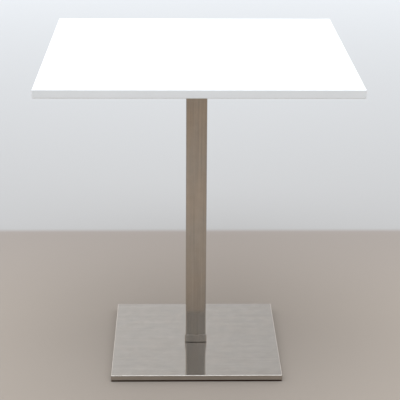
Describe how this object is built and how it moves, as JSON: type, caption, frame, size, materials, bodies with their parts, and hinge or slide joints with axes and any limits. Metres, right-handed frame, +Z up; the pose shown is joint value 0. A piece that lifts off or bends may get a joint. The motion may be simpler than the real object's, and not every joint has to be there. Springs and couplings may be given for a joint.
{
  "type": "bistro table",
  "caption": "Square cafe table with a white laminated top on a square brushed-steel column and a flat weighted square base with levelling feet.",
  "frame": {"origin": "on the floor under the middle of the table", "axes": "+Z up, -Y towards the front edge, +X to the right seen from the front"},
  "size_m": [0.7, 0.7, 0.76],
  "materials": {
    "white_laminate": "satin",
    "white_edge_band": "satin",
    "backing_laminate": "matte",
    "particle_board": "raw pressed chips",
    "brushed_stainless": "brushed in one direction",
    "black_coated_steel": "fine textured powder coat",
    "plain_steel": "as rolled",
    "zinc_plated_steel": "bright zinc plate",
    "black_nylon": "moulded"
  },
  "bodies": {
    "root": {"top_core": "particle_board", "top_laminate": "white_laminate", "underside_laminate": "backing_laminate", "edge_band_front": "white_edge_band", "edge_band_rear": "white_edge_band", "edge_band_left": "white_edge_band", "edge_band_right": "white_edge_band", "mounting_plate": "black_coated_steel", "top_screws": "zinc_plated_steel", "head_spigot": "plain_steel", "column_tube": "brushed_stainless", "column_collar": "brushed_stainless", "base_cover": "brushed_stainless", "tie_rod": "zinc_plated_steel", "rod_flat_washer": "zinc_plated_steel", "rod_spring_washer": "zinc_plated_steel", "rod_nut": "zinc_plated_steel", "foot_spigot": "plain_steel", "weight_plate": "black_coated_steel"},
    "pad_front_left": {"leveller_pad_front_left": "black_nylon"},
    "stud_front_left": {"leveller_stud_front_left": "zinc_plated_steel"},
    "pad_front_right": {"leveller_pad_front_right": "black_nylon"},
    "stud_front_right": {"leveller_stud_front_right": "zinc_plated_steel"},
    "pad_rear_left": {"leveller_pad_rear_left": "black_nylon"},
    "stud_rear_left": {"leveller_stud_rear_left": "zinc_plated_steel"},
    "pad_rear_right": {"leveller_pad_rear_right": "black_nylon"},
    "stud_rear_right": {"leveller_stud_rear_right": "zinc_plated_steel"}
  },
  "joints": [
    {"name": "height_front_left", "type": "slide", "parent": "root", "child": "pad_front_left", "axis": [0, 0, -1], "range_m": [0, 0.004]},
    {"name": "turn_front_left", "type": "hinge", "parent": "pad_front_left", "child": "stud_front_left", "pos_m": [-0.17, -0.17, 0], "axis": [0, 0, -1], "range_deg": [0, 1152]},
    {"name": "height_front_right", "type": "slide", "parent": "root", "child": "pad_front_right", "axis": [0, 0, -1], "range_m": [0, 0.004]},
    {"name": "turn_front_right", "type": "hinge", "parent": "pad_front_right", "child": "stud_front_right", "pos_m": [0.17, -0.17, 0], "axis": [0, 0, -1], "range_deg": [0, 1152]},
    {"name": "height_rear_left", "type": "slide", "parent": "root", "child": "pad_rear_left", "axis": [0, 0, -1], "range_m": [0, 0.004]},
    {"name": "turn_rear_left", "type": "hinge", "parent": "pad_rear_left", "child": "stud_rear_left", "pos_m": [-0.17, 0.17, 0], "axis": [0, 0, -1], "range_deg": [0, 1152]},
    {"name": "height_rear_right", "type": "slide", "parent": "root", "child": "pad_rear_right", "axis": [0, 0, -1], "range_m": [0, 0.004]},
    {"name": "turn_rear_right", "type": "hinge", "parent": "pad_rear_right", "child": "stud_rear_right", "pos_m": [0.17, 0.17, 0], "axis": [0, 0, -1], "range_deg": [0, 1152]}
  ],
  "couplings": [
    {"joint": "turn_front_left", "follows": "height_front_left", "rad_per_m": 5026.5},
    {"joint": "turn_front_right", "follows": "height_front_right", "rad_per_m": 5026.5},
    {"joint": "turn_rear_left", "follows": "height_rear_left", "rad_per_m": 5026.5},
    {"joint": "turn_rear_right", "follows": "height_rear_right", "rad_per_m": 5026.5}
  ]
}
